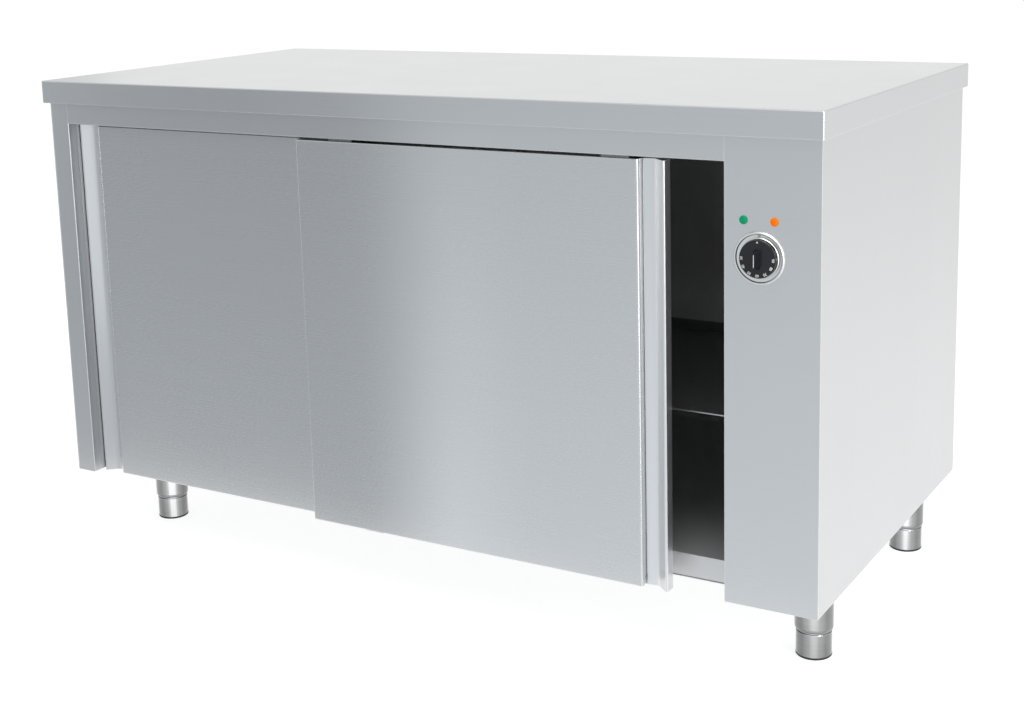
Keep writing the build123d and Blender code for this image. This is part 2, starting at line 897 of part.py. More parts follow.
def foot():
    """Lower foot: a cup whose neck slides in the sleeve, and the spindle that carries it."""
    shoulder = sleeve_bottom - neck_gap
    step = (foot_radius - neck_radius) / 2
    return turned(
        (0, pad_height),
        (foot_radius, pad_height),
        (foot_radius, shoulder - step),
        (foot_radius - step / 3, shoulder - step / 3),
        (foot_radius - step, shoulder),
        (neck_radius, shoulder),
        (neck_radius, plate_bottom - foot_play),
        (neck_radius - foot_wall, plate_bottom - foot_play),
        (neck_radius - foot_wall, pad_height + foot_floor),
        (spindle_radius, pad_height + foot_floor),
        (spindle_radius, spindle_top),
        (0, spindle_top),
    )


def foot_pad():
    pad = Cylinder(pad_radius, pad_height, align=base)
    return chamfer(pad.edges().sort_by(Axis.Z)[0], pad_height / 4)


def leg_channel(x):
    """Stiffening channel, open upwards, with the weld nuts that the feet's studs go into."""
    side = channel_width / 2
    section = folded(
        (x - side, floor_top - sheet),
        (x - side, base_top),
        (x + side, base_top),
        (x + side, floor_top - sheet),
        thickness=channel_sheet,
    )
    channel = along_y(section, front + foot_front_inset - channel_overrun, hot_back - sheet - bend)
    for foot_x, foot_y in foot_places.values():
        if foot_x == x:
            nut = Pos(x, foot_y, base_top + channel_sheet) * hexagon(nut_width, nut_height)
            channel += nut
            channel -= Pos(x, foot_y, base_top) * Cylinder(stud_radius, 4 * nut_height)
    return channel


pieces["foot_sleeves"] = Compound(children=[Pos(x, y, 0) * foot_sleeve() for x, y in foot_places.values()])
channels = [leg_channel(foot_places[name][0]) for name in ("front_left", "front_right")]
pieces["leg_channels"] = Compound(children=channels)
for name, (x, y) in foot_places.items():
    pieces[f"foot_{name}"] = Pos(x, y, 0) * foot()
    pieces[f"foot_pad_{name}"] = Pos(x, y, 0) * foot_pad()


# ---------------------------------------------------------------- controls
def knob():
    """Dial skirt with a raised grip bar."""
    skirt = Pos(0, 0, knob_lift) * Cylinder(knob_radius, knob_skirt, align=base)
    skirt = fillet(skirt.edges().sort_by(Axis.Z)[-1], 1.5)
    top = knob_lift + knob_skirt
    outline = RectangleRounded(knob_bar_width, knob_bar_length, knob_bar_width * 0.4)
    bar = Pos(0, 0, top) * extrude(outline, knob_bar_height, taper=knob_bar_taper)
    shaft_hole = Cylinder(shaft_radius, 2 * (shaft_reach - bend))
    return skirt + bar - shaft_hole


def thermostat_shaft():
    top = shaft_reach - bend
    return Pos(0, 0, top) * Cylinder(shaft_radius, top + thermostat_depth, align=hung)


def bezel():
    """Pressed ring round the dial: high outer rim, dished towards the dial."""
    rim = bezel_radius - bezel_rim
    return turned(
        (bezel_bore, 0),
        (bezel_radius, 0),
        (bezel_radius, bezel_height * 0.6),
        (bezel_radius - bezel_rim / 3, bezel_height * 0.9),
        (bezel_radius - bezel_rim / 2, bezel_height),
        (rim, bezel_height * 0.9),
        (rim - bezel_rim / 2, bezel_height * 0.5),
        (bezel_bore + bezel_rim / 3, bezel_height * 0.4),
        (bezel_bore, bezel_height * 0.6),
    )


def thermostat():
    case = Rectangle(thermostat_size, thermostat_size)
    case = Pos(0, 0, -sheet - thermostat_depth) * extrude(fillet(case.vertices(), 3), thermostat_depth)
    bushing = Pos(0, 0, -sheet) * Cylinder(bushing_radius, sheet, align=base)
    bore = Cylinder(shaft_radius + running_gap, 2 * thermostat_depth, align=base)
    return case + bushing - Pos(0, 0, -thermostat_depth) * bore


def lamp():
    """Indicator lamp: domed lens with a rim, and the lamp holder behind the panel."""
    rim = lamp_dome / 4
    dome = [
        (lamp_lens_radius * cos(angle), rim + (lamp_dome - rim) * sin(angle)) for angle in (0, pi / 6, pi / 3)
    ]
    return turned(
        (0, -lamp_length),
        (lamp_body_radius, -lamp_length),
        (lamp_body_radius, 0),
        (lamp_lens_radius, 0),
        *dome,
        (0, lamp_dome),
    )


pieces["thermostat_knob"] = facing_front(knob(), knob_x, knob_height)
pieces["thermostat_shaft"] = facing_front(thermostat_shaft(), knob_x, knob_height)
pieces["thermostat_bezel"] = facing_front(bezel(), knob_x, knob_height)
pieces["thermostat"] = facing_front(thermostat(), knob_x, knob_height)
pieces["green_lamp"] = facing_front(lamp(), lamp_places[0], lamp_height)
pieces["orange_lamp"] = facing_front(lamp(), lamp_places[1], lamp_height)


# ---------------------------------------------------------------- heater unit in the column
def air_duct():
    """Box on the column side of the partition, from the intake slots down to the outlet slots."""
    far = column_left + fan_size
    section = folded(
        (column_left, duct_back + duct_flange),
        (column_left, duct_back),
        (far, duct_back),
        (far, duct_front),
        (column_left, duct_front),
        (column_left, duct_front - duct_flange),
    )
    duct = along_z(section, duct_bottom, duct_top)
    cover_x, cover_y = (column_left, far + sheet), (duct_front - sheet, duct_back + sheet)
    duct += block(cover_x, cover_y, (duct_bottom - sheet, duct_bottom))
    duct += block(cover_x, cover_y, (duct_top, duct_top + sheet))
    for x, z in element_ends:
        duct -= Pos(x, duct_front, z) * Rot(90, 0, 0) * Cylinder(element_radius, flange)
    return duct - Pos(fan_x, duct_front, intake_height) * Rot(90, 0, 0) * Cylinder(bulb_radius, flange)


def heating_element(z):
    """Hairpin of tubular element, both ends out of the duct's front wall."""
    start = duct_front - element_tail
    end = duct_front + element_reach
    near, far = fan_x - element_spacing / 2, fan_x + element_spacing / 2
    route = [(near, start, z), (near, end, z), (far, end, z), (far, start, z)]
    return tube(route, element_radius, element_spacing / 3)


def fan_frame():
    """Compact axial fan housing with its motor base, arms and fixed shaft."""
    ring = fillet(Rectangle(fan_size, fan_size).vertices(), fan_corner) - Circle(fan_bore_radius)
    frame = extrude(ring, fan_depth)
    frame += Cylinder(fan_base_radius, fan_base, align=base)
    reach = fan_bore_radius + 1
    for index in range(fan_arms):
        arm = block((fan_base_radius - 1, reach), (-fan_arm_width / 2, fan_arm_width / 2), (0, fan_base))
        frame += Rot(0, 0, 360 / fan_arms * index + 45) * arm
    shaft = Cylinder(fan_shaft_radius, fan_depth - fan_base, align=base)
    return frame + shaft


def fan_impeller():
    """Hub cap over the motor with pitched blades."""
    low, high = fan_base + bend, fan_depth - bend
    hub = Pos(0, 0, low) * Cylinder(fan_base_radius, high - low, align=base)
    hub -= Pos(0, 0, low) * Cylinder(fan_base_radius - fan_hub_wall, high - low - fan_hub_wall, align=base)
    boss = Pos(0, 0, low) * Cylinder(3 * fan_shaft_radius, high - low, align=base)
    tip = fan_bore_radius - fan_tip_gap
    root = fan_base_radius - fan_hub_wall / 2
    chord = (high - low) / cos(radians(90 - fan_blade_pitch))
    swept = Cylinder(tip, high - low, align=base) - Cylinder(root, high - low, align=base)
    swept = Pos(0, 0, low) * swept
    impeller = hub + boss
    for index in range(fan_blades):
        blade = Box(tip, chord, fan_blade_thickness)
        blade = Pos(tip / 2, 0, (low + high) / 2) * Rot(fan_blade_pitch, 0, 0) * blade
        impeller += Rot(0, 0, 360 / fan_blades * index) * (blade & swept)
    return impeller - Cylinder(fan_shaft_radius + running_gap, 3 * fan_depth)


element_ends = [
    (fan_x + side * element_spacing / 2, level) for side in (-1, 1) for level in element_levels
]
pieces["air_duct"] = air_duct()
pieces["heating_element"] = Compound(children=[heating_element(level) for level in element_levels])
pieces["fan_frame"] = Pos(fan_x, fan_y, fan_height) * fan_frame()
pieces["fan_impeller"] = Pos(fan_x, fan_y, fan_height) * fan_impeller()


# ---------------------------------------------------------------- supply, wiring and sensor
def terminal_block():
    top = base_top + terminal_height
    side = (terminal_x, terminal_x + terminal_depth)
    case = block(side, (terminal_y, terminal_y + terminal_length), (base_top, top))
    pitch = terminal_length / terminal_ways
    for way in range(terminal_ways):
        y = terminal_y + (way + 0.5) * pitch
        case -= Pos(terminal_x + terminal_depth / 2, y, top) * Cylinder(pitch / 4, terminal_height)
    return case


def cable_gland():
    """Gland in the back panel: locking nut inside, hexagon and dome outside, bored through."""
    barrel = Pos(0, 0, -gland_length) * Cylinder(gland_barrel, gland_length + gland_hex_height, align=base)
    nut = Pos(0, 0, -sheet - gland_hex_height) * hexagon(gland_hex, gland_hex_height)
    outer = hexagon(gland_hex, gland_hex_height)
    dome = Pos(0, 0, gland_hex_height) * Cylinder(gland_dome_radius, gland_dome, align=base)
    dome = fillet(dome.edges().sort_by(Axis.Z)[-1], gland_dome / 2)
    gland = barrel + nut + outer + dome - Cylinder(gland_bore, 8 * flange)
    return Pos(gland_x, back_inside + sheet, gland_height) * Rot(-90, 0, 0) * gland


def wiring():
    """Leads: mains to the terminal block, then to the thermostat and the element, and the lamps' leads."""
    lead_x = terminal_x + terminal_depth / 2
    lead_z = base_top + terminal_height / 2
    lead_y = front + sheet + thermostat_depth / 2
    thermostat_low = knob_height - thermostat_size / 2
    over_duct = duct_top + wire_lead
    supply_y = gland_end - wire_lead
    supply = [
        (gland_x, gland_end, gland_height),
        (gland_x, supply_y, gland_height),
        (lead_x, supply_y, gland_height),
        (lead_x, supply_y, lead_z),
        (lead_x, terminal_y + terminal_length, lead_z),
    ]
    control = [
        (lead_x, terminal_y, lead_z),
        (lead_x, duct_back + wire_lead, lead_z),
        (lead_x, duct_back + wire_lead, over_duct),
        (knob_x - thermostat_size / 4, lead_y, over_duct),
        (knob_x - thermostat_size / 4, lead_y, thermostat_low),
    ]
    element_x, element_y = element_ends[0][0], duct_front - element_tail
    heater_z = knob_height - thermostat_size / 4
    heater = [
        (knob_x, front + sheet + thermostat_depth, heater_z),
        (knob_x, element_y - wire_lead, heater_z),
        (element_x, element_y - wire_lead, element_levels[-1]),
        (element_x, element_y, element_levels[-1]),
    ]
    return [tube(route, wire_radius, wire_bend) for route in (supply, control, heater, *lamp_leads())]


def lamp_leads():
    """Two leads from the lamps' holders down to the thermostat's case."""
    lamp_back = front + lamp_length
    bend_y = lamp_back + wire_lead
    thermostat_back = front + sheet + thermostat_depth
    return [
        [
            (x, lamp_back, lamp_height),
            (x, bend_y, lamp_height),
            (knob_x + side * thermostat_size / 4, bend_y, knob_height),
            (knob_x + side * thermostat_size / 4, thermostat_back, knob_height),
        ]
        for x, side in zip(lamp_places, (-1, 1))
    ]


def sensor():
    """Capillary sensor: bulb through the duct's wall at the intake, fine tube back to the thermostat."""
    bulb_start = duct_front - flange
    bulb = Rot(-90, 0, 0) * Cylinder(bulb_radius, bulb_length, align=base)
    bulb = Pos(fan_x, bulb_start, intake_height) * bulb
    wire_y = front + sheet + thermostat_depth / 2
    lead_x = knob_x + thermostat_size / 4
    route = [
        (fan_x, bulb_start, intake_height),
        (fan_x, bulb_start - wire_lead, intake_height),
        (lead_x, wire_y, intake_height + wire_lead),
        (lead_x, wire_y, knob_height - thermostat_size / 2),
    ]
    return bulb + tube(route, capillary_radius, wire_bend)


def pan_screws():
    screws = [Pos(x, back_inside, z) * Rot(90, 0, 0) * pan_screw() for x, y, z in back_screws]
    screws += [Pos(x, track_middle, track_ceiling) * Rot(180, 0, 0) * pan_screw() for x in track_screw_places]
    under = body_bottom + sheet - guide_plate
    screws += [Pos(x, y, under) * Rot(180, 0, 0) * pan_screw() for x, y in guide_screws]
    return Compound(children=screws)


pieces["terminal_block"] = terminal_block()
pieces["cable_gland"] = cable_gland()
pieces["wiring"] = Compound(children=wiring())
pieces["sensor"] = sensor()
pieces["pan_screws"] = pan_screws()

for node, shape in pieces.items():
    export_step(shape, f"parts/{node}.step")
print(len(pieces), "nodes")
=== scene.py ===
"""Looks of a heated plate cabinet: finishes, dial marks, screws, fittings and the studio round it."""
import json
import math

import bpy
from mathutils import Matrix, Vector


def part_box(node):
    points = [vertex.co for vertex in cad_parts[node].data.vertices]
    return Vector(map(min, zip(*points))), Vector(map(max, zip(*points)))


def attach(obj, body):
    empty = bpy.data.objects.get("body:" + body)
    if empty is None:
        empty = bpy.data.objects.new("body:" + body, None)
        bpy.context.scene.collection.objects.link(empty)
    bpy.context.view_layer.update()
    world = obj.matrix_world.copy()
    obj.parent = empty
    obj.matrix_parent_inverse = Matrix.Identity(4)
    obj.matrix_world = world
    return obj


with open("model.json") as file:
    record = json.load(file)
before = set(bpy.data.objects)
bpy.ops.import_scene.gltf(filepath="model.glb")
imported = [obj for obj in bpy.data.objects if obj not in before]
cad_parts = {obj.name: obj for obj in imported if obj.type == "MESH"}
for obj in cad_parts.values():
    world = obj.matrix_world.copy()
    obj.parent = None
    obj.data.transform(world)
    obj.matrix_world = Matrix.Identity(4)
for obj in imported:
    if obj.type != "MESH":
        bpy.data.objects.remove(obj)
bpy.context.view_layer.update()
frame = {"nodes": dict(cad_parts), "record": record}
MM = 0.001

# ---------------------------------------------------------------- colours
STEEL = (0.65, 0.657, 0.662)
# edge colour of the steel: partly rubbed wear, partly a painted highlight
STEEL_EDGE_WEAR_AND_HIGHLIGHT = (0.9, 0.9, 0.9)
STRIP_STEEL = (0.8, 0.805, 0.81)
LINING = (0.8, 0.805, 0.81)
# a darker copy of the steel: painted shade for the mid shelf inside the cabinet
SHELF_STEEL_PAINTED_SHADE = (0.42, 0.425, 0.43)
GALVANISED = (0.5, 0.515, 0.53)
# darkened zinc: partly passivated zinc, partly painted shade for the hangers seen in the gap above the doors
ZINC_WITH_PAINTED_SHADE = (0.32, 0.32, 0.31)
ALUMINIUM = (0.68, 0.69, 0.7)
CHROME = (0.86, 0.86, 0.84)
DARK_STEEL = (0.2, 0.18, 0.17)
COPPER = (0.72, 0.42, 0.25)
BLACK = (0.018, 0.018, 0.02)
KNOB_BLACK = (0.014, 0.015, 0.018)
RUBBER = (0.03, 0.03, 0.031)
NYLON = (0.78, 0.77, 0.72)
CERAMIC = (0.72, 0.69, 0.6)
WOOL = (0.62, 0.53, 0.3)
GREEN = (0.0, 0.27, 0.12)
ORANGE = (0.85, 0.17, 0.0)
WHITE = (0.9, 0.9, 0.9)
INDEX_BLACK = (0.03, 0.03, 0.035)
STRAW_TINT = (0.43, 0.39, 0.32)  # heat-toned lining
HEAT_BLUE = (0.13, 0.12, 0.15)
HEAT_BROWN = (0.3, 0.22, 0.14)
TARNISH = (0.42, 0.22, 0.13)
GLAZE_SPECK = (0.3, 0.27, 0.22)
# painted highlight and painted dark reflection on the foot tubes
TUBE_PAINTED_HIGHLIGHT = (0.98, 1.0, 1.0)
TUBE_PAINTED_DARK_REFLECTION = (0.0, 0.0, 0.0)
TUBE_DUST = (0.4, 0.39, 0.37)
FLOOR_DUST = (0.11, 0.105, 0.1)
DIAL_DUST = (0.2, 0.2, 0.2)
DIAL_RUBBED = (0.05, 0.052, 0.058)

# ---------------------------------------------------------------- shader writing
MIX_FACTOR, MIX_A, MIX_B, MIX_COLOUR_OUT = 0, 6, 7, 2


class Value:
    """A socket with one number at each point. Arithmetic on it adds Math nodes."""

    def __init__(self, finish, socket):
        self.finish = finish
        self.socket = socket

    def math(self, operation, *values):
        made = self.finish.node("ShaderNodeMath", {"operation": operation}, dict(enumerate(values)))
        return Value(self.finish, made.outputs[0])

    def __add__(self, other):
        return self.math("ADD", self, other)

    def __sub__(self, other):
        return self.math("SUBTRACT", self, other)

    def __rsub__(self, other):
        return self.math("SUBTRACT", other, self)

    def __mul__(self, other):
        return self.math("MULTIPLY", self, other)

    __radd__ = __add__
    __rmul__ = __mul__

    def ramp(self, *stops):
        """The number re-read between stops of (where, value)."""
        made = self.finish.node("ShaderNodeValToRGB", {"stops": stops}, {0: self})
        return Value(self.finish, made.outputs[0])


class Finish:
    """A material being written: its nodes and the Principled shader at their end."""

    def __init__(self, name, colour, roughness, metallic=0.0, **sockets):
        self.material = bpy.data.materials.new(name)
        self.material.use_nodes = True
        self.tree = self.material.node_tree
        self.tree.nodes.clear()
        shader_inputs = {"Base Color": (*colour, 1), "Roughness": roughness, "Metallic": metallic}
        shader_inputs.update({key.replace("_", " "): value for key, value in sockets.items()})
        self.shader = self.node("ShaderNodeBsdfPrincipled", inputs=shader_inputs)
        self.node("ShaderNodeOutputMaterial", inputs={"Surface": self.shader.outputs[0]})
        self.place = self.node("ShaderNodeTexCoord").outputs["Object"]

    def node(self, kind, settings=None, inputs=None):
        """A new node: its settings first, then the values or links of its sockets."""
        made = self.tree.nodes.new(kind)
        for key, value in (settings or {}).items():
            if key == "stops":
                self.write_stops(made.color_ramp, value)
            else:
                setattr(made, key, value)
        for key, value in (inputs or {}).items():
            if isinstance(value, Value):
                value = value.socket
            if isinstance(value, bpy.types.NodeSocket):
                self.tree.links.new(value, made.inputs[key])
            else:
                made.inputs[key].default_value = value
        return made

    def write_stops(self, ramp, stops):
        while len(ramp.elements) < len(stops):
            ramp.elements.new(1.0)
        for element, (where, value) in zip(ramp.elements, stops):
            element.position = where
            element.color = (*value, 1) if isinstance(value, tuple) else (value, value, value, 1)

    def stretched(self, scale):
        return self.node("ShaderNodeMapping", inputs={0: self.place, "Scale": scale}).outputs[0]

    def noise(self, scale=1.0, detail=2.0, rough=0.5, along=None):
        """Cloudy noise, or grain where along gives the scale on each axis."""
        place = self.stretched(along) if along else self.place
        inputs = {"Vector": place, "Scale": scale, "Detail": detail, "Roughness": rough}
        return Value(self, self.node("ShaderNodeTexNoise", inputs=inputs).outputs[0])

    def cells(self, scale):
        """Voronoi cells: the distance to each cell's middle, and the cell's own random colour."""
        made = self.node("ShaderNodeTexVoronoi", inputs={"Vector": self.place, "Scale": scale})
        return Value(self, made.outputs["Distance"]), made.outputs["Color"]

    def edges(self, radius):
        """1 along sharp edges, fading to 0 within the radius."""
        bevelled = self.node("ShaderNodeBevel", {"samples": 4}, {"Radius": radius}).outputs[0]
        normal = self.node("ShaderNodeNewGeometry").outputs["Normal"]
        dot = self.node("ShaderNodeVectorMath", {"operation": "DOT_PRODUCT"}, {0: bevelled, 1: normal})
        return Value(self, dot.outputs["Value"]).ramp((0.86, 1.0), (0.995, 0.0))

    def mix(self, factor, first, second):
        """Colours blended by the factor."""
        first, second = ((*c, 1) if isinstance(c, tuple) else c for c in (first, second))
        inputs = {MIX_FACTOR: factor, MIX_A: first, MIX_B: second}
        return self.node("ShaderNodeMix", {"data_type": "RGBA"}, inputs).outputs[MIX_COLOUR_OUT]

    def send(self, socket, value):
        """Link a value to one of the shader's sockets."""
        source = value.socket if isinstance(value, Value) else value
        self.tree.links.new(source, self.shader.inputs[socket])

    def bump(self, height, distance, below=None):
        """A normal from a height, laid over the normal below it."""
        inputs = {"Height": height, "Distance": distance, "Strength": 1.0}
        if below is not None:
            inputs["Normal"] = below
        return self.node("ShaderNodeBump", inputs=inputs).outputs[0]


def shade(colour, factor):
    """The colour, darker or lighter."""
    return tuple(part * factor for part in colour)


# ---------------------------------------------------------------- finishes
EDGE_WEAR_AND_HIGHLIGHT_WIDTH = 1.6 * MM  # how far in from a fold or cut edge the sheet is lighter: partly rubbed wear, partly a painted highlight
GRAIN_ALONG_X = (4.0, 900.0, 900.0)
GRAIN_ALONG_Z = (900.0, 900.0, 4.0)
QUARTER_TURN = 0.25


def brushed_steel(name, colour, roughness=0.3, grain=GRAIN_ALONG_X, blur=0.75, rubbed=0.7, metal=1.0):
    """Satin sheet: fine grain along one axis, cloudy wiping marks, a slightly wavy surface.

    Blur is how far the highlight spreads across the grain on upright faces.
    """
    turn = QUARTER_TURN if grain == GRAIN_ALONG_X else 0.0
    finish = Finish(name, colour, roughness, metal, Anisotropic=blur, Anisotropic_Rotation=turn)
    lines = finish.noise(1.0, 3.0, 0.6, grain)
    broad = finish.noise(1.0, 2.0, 0.5, [part / 9 for part in grain])
    clouds = finish.noise(2.6, 3.0, 0.55)
    wiped = finish.noise(7.0, 2.0, 0.6, (1.0, 1.0, 0.35))
    tone = (lines - 0.5) * 0.11 + (broad - 0.5) * 0.06 + (clouds - 0.5) * 0.05 + 0.5
    sheet = finish.mix(tone, shade(colour, 0.86), shade(colour, 1.14))
    # edges lighter and less metallic: partly rubbed wear, partly a painted highlight along folds and cut
    # edges
    if rubbed:
        worn = finish.edges(EDGE_WEAR_AND_HIGHLIGHT_WIDTH) * rubbed
        sheet = finish.mix(worn, sheet, STEEL_EDGE_WEAR_AND_HIGHLIGHT)
        finish.send("Metallic", (1 - worn) * metal)
    finish.send("Base Color", sheet)
    finish.send("Roughness", (lines - 0.5) * 0.1 + (wiped - 0.5) * 0.07 + roughness)
    wavy = finish.bump(finish.noise(3.2, 1.0), 0.35 * MM)
    finish.send("Normal", finish.bump(lines, 0.003 * MM, wavy))
    return finish.material


def lining_steel(name):
    """Heat-toned satin lining with a little straw tint where it gets hottest."""
    finish = Finish(name, LINING, 0.5, 0.3)
    lines = finish.noise(1.0, 2.0, 0.5, (8.0, 500.0, 500.0))
    heat = finish.noise(3.0, 3.0).ramp((0.45, 0.0), (0.75, 0.35))
    tone = finish.mix((lines - 0.5) * 0.2 + 0.5, shade(LINING, 0.86), shade(LINING, 1.1))
    finish.send("Base Color", finish.mix(heat, tone, STRAW_TINT))
    finish.send("Roughness", (lines - 0.5) * 0.12 + 0.5)
    finish.send("Normal", finish.bump(lines, 0.006 * MM, finish.bump(finish.noise(4.0, 1.0), 0.4 * MM)))
    return finish.material


def galvanised(name):
    """Zinc-coated sheet with its frosty spangle."""
    finish = Finish(name, GALVANISED, 0.45, 0.85)
    spangle = finish.cells(140.0)[1]
    grey = Value(finish, finish.node("ShaderNodeRGBToBW", inputs={0: spangle}).outputs[0])
    finish.send("Base Color", finish.mix(grey, shade(GALVANISED, 0.78), shade(GALVANISED, 1.15)))
    finish.send("Roughness", grey * 0.25 + 0.32)
    finish.send("Normal", finish.bump(grey, 0.006 * MM))
    return finish.material


def plated(name, colour, roughness):
    """Bright plated small part: light swirl marks, rubbed edges."""
    finish = Finish(name, colour, roughness, 1.0)
    swirl = finish.noise(420.0, 3.0, 0.6)
    worn = finish.edges(0.6 * MM)
    finish.send("Base Color", finish.mix(worn * 0.5 + swirl * 0.3, shade(colour, 0.85), shade(colour, 1.18)))
    finish.send("Roughness", swirl * 0.16 + (roughness - 0.08))
    finish.send("Normal", finish.bump(swirl, 0.01 * MM))
    return finish.material


def extruded_aluminium(name):
    """Bare aluminium section with the die's lines along it."""
    finish = Finish(name, ALUMINIUM, 0.34, 1.0)
    die_lines = finish.noise(1.0, 3.0, 0.6, (3.0, 1600.0, 1600.0))
    finish.send("Base Color", finish.mix(die_lines, shade(ALUMINIUM, 0.84), shade(ALUMINIUM, 1.1)))
    finish.send("Roughness", die_lines * 0.2 + 0.24)
    finish.send("Normal", finish.bump(die_lines, 0.008 * MM))
    return finish.material


# painted reflection on the foot tubes: (facing, tone), a bright middle and dark bands
TUBE_PAINTED_REFLECTION = ((0.0, 1.0), (0.068, 1.0), (0.09, 0.6), (0.13, 0.4), (0.3, 0.25), (0.6, 0.3), (0.8, 0.55))


def satin_tube(name):
    """Foot tube: brushed round its axis, so the grain runs level.

    Its base colour carries a painted highlight and painted dark reflection bands, read from Layer Weight's
    Facing, so they move with the view, and a bake loses them.
    """
    finish = Finish(name, STEEL, 0.24, 1.0, Anisotropic=0.5)
    rings = finish.noise(1.0, 3.0, 0.6, (14.0, 14.0, 1500.0))
    clouds = finish.noise(30.0, 2.0)
    dust = finish.noise(90.0, 4.0, 0.7).ramp((0.58, 0.0), (0.8, 0.25))
    facing = Value(finish, finish.node("ShaderNodeLayerWeight", inputs={"Blend": 0.5}).outputs["Facing"])
    # painted highlight and painted dark reflection bands from the facing, over the real brushed rings and
    # clouds
    tone = facing.ramp(*TUBE_PAINTED_REFLECTION) + (rings - 0.5) * 0.16 + (clouds - 0.5) * 0.08
    steel = finish.mix(tone, TUBE_PAINTED_DARK_REFLECTION, TUBE_PAINTED_HIGHLIGHT)
    finish.send("Base Color", finish.mix(dust * 0.6, steel, TUBE_DUST))
    finish.send("Roughness", (rings - 0.5) * 0.14 + dust * 0.3 + 0.24)
    finish.send("Normal", finish.bump(rings, 0.005 * MM))
    return finish.material


def moulded(name, colour, roughness):
    """Moulded plastic: fine spark grain, cloudy gloss, edges rubbed a shade lighter."""
    finish = Finish(name, colour, roughness)
    grain = finish.noise(700.0, 3.0, 0.6)
    clouds = finish.noise(55.0, 3.0)
    worn = finish.edges(0.5 * MM)
    base = finish.mix(clouds, shade(colour, 0.88), shade(colour, 1.12))
    lighter = tuple(part * 1.35 + 0.012 for part in colour)
    finish.send("Base Color", finish.mix(worn * 0.6, base, lighter))
    finish.send("Roughness", (clouds - 0.5) * 0.16 + (grain - 0.5) * 0.12 + roughness)
    finish.send("Normal", finish.bump(grain, 0.02 * MM))
    return finish.material


def dial_black(name):
    """Glossy black dial moulding with faint fingerprints and dust."""
    finish = Finish(name, KNOB_BLACK, 0.16, Coat_Weight=0.1, Coat_Roughness=0.06, Specular_IOR_Level=0.3)
    prints = finish.noise(160.0, 4.0, 0.65)
    dust = finish.noise(1400.0, 2.0).ramp((0.68, 0.0), (0.78, 0.16))
    worn = finish.edges(0.4 * MM)
    black = finish.mix(worn * 0.5, KNOB_BLACK, DIAL_RUBBED)
    finish.send("Base Color", finish.mix(dust, black, DIAL_DUST))
    finish.send("Roughness", prints * 0.16 + 0.08)
    finish.send("Normal", finish.bump(prints, 0.006 * MM))
    return finish.material


def black_rubber(name):
    """Matt rubber with floor dust on it."""
    finish = Finish(name, RUBBER, 0.7)
    grain = finish.noise(900.0, 3.0, 0.7)
    dust = finish.noise(70.0, 4.0, 0.7).ramp((0.5, 0.0), (0.75, 0.4))
    finish.send("Base Color", finish.mix(dust, RUBBER, FLOOR_DUST))
    finish.send("Roughness", grain * 0.25 + 0.56)
    finish.send("Normal", finish.bump(grain, 0.05 * MM))
    return finish.material


def lamp_lens(name, colour):
    """Tinted lens with fine prism cells in its dome, glowing a little."""
    finish = Finish(name, colour, 0.3, Coat_Weight=0.1, Specular_IOR_Level=0.15, Emission_Strength=0.35)
    prisms = finish.cells(700.0)[0]
    clouds = finish.noise(260.0, 3.0)
    tone = finish.mix(prisms * 0.6 + clouds * 0.4, shade(colour, 0.62), shade(colour, 1.12))
    finish.send("Base Color", tone)
    finish.send("Emission Color", tone)
    finish.send("Roughness", prisms * 0.14 + 0.22)
    finish.send("Normal", finish.bump(prisms, 0.12 * MM))
    return finish.material


def mineral_wool(name):
    """Yellow-brown fibres in tufts."""
    finish = Finish(name, WOOL, 0.95, Sheen_Weight=0.3)
    fibres = finish.noise(1.0, 5.0, 0.75, (120.0, 700.0, 160.0))
    tufts = finish.noise(60.0, 4.0, 0.7)
    finish.send("Base Color", finish.mix(fibres * 0.6 + tufts * 0.4, shade(WOOL, 0.55), shade(WOOL, 1.3)))
    finish.send("Roughness", tufts * 0.15 + 0.82)
    finish.send("Normal", finish.bump(fibres, 0.8 * MM, finish.bump(tufts, 2.0 * MM)))
    return finish.material


def scaled_steel(name):
    """Heater sheath: heat-blued dark steel."""
    finish = Finish(name, DARK_STEEL, 0.5, 0.9)
    bands = finish.noise(40.0, 4.0, 0.6)
    stops = ((0.3, HEAT_BLUE), (0.5, DARK_STEEL), (0.7, HEAT_BROWN))
    colours = finish.node("ShaderNodeValToRGB", {"stops": stops}, {0: bands})
    finish.send("Base Color", colours.outputs[0])
    finish.send("Roughness", bands * 0.3 + 0.35)
    finish.send("Normal", finish.bump(finish.noise(600.0, 3.0), 0.03 * MM))
    return finish.material


def drawn_copper(name):
    """Copper and brass, dulled in clouds."""
    finish = Finish(name, COPPER, 0.3, 1.0)
    tarnish = finish.noise(120.0, 4.0, 0.65)
    finish.send("Base Color", finish.mix(tarnish, TARNISH, shade(COPPER, 1.15)))
    finish.send("Roughness", tarnish * 0.3 + 0.18)
    finish.send("Normal", finish.bump(tarnish, 0.02 * MM))
    return finish.material


def glazed_ceramic(name):
    """Cream glaze with a few dark specks."""
    finish = Finish(name, CERAMIC, 0.3, Coat_Weight=0.3, Coat_Roughness=0.15)
    specks = finish.noise(900.0, 2.0).ramp((0.7, 0.0), (0.78, 0.5))
    clouds = finish.noise(80.0, 3.0)
    glaze = finish.mix(clouds, shade(CERAMIC, 0.9), shade(CERAMIC, 1.1))
    finish.send("Base Color", finish.mix(specks, glaze, GLAZE_SPECK))
    finish.send("Roughness", clouds * 0.2 + 0.2)
    finish.send("Normal", finish.bump(clouds, 0.05 * MM))
    return finish.material


def ink(name, colour):
    """Printed mark: slightly uneven, matt."""
    finish = Finish(name, colour, 0.5)
    grain = finish.noise(1500.0, 3.0, 0.6)
    finish.send("Base Color", finish.mix(grain, shade(colour, 0.86), colour))
    finish.send("Roughness", grain * 0.3 + 0.35)
    finish.send("Normal", finish.bump(grain, 0.01 * MM))
    return finish.material


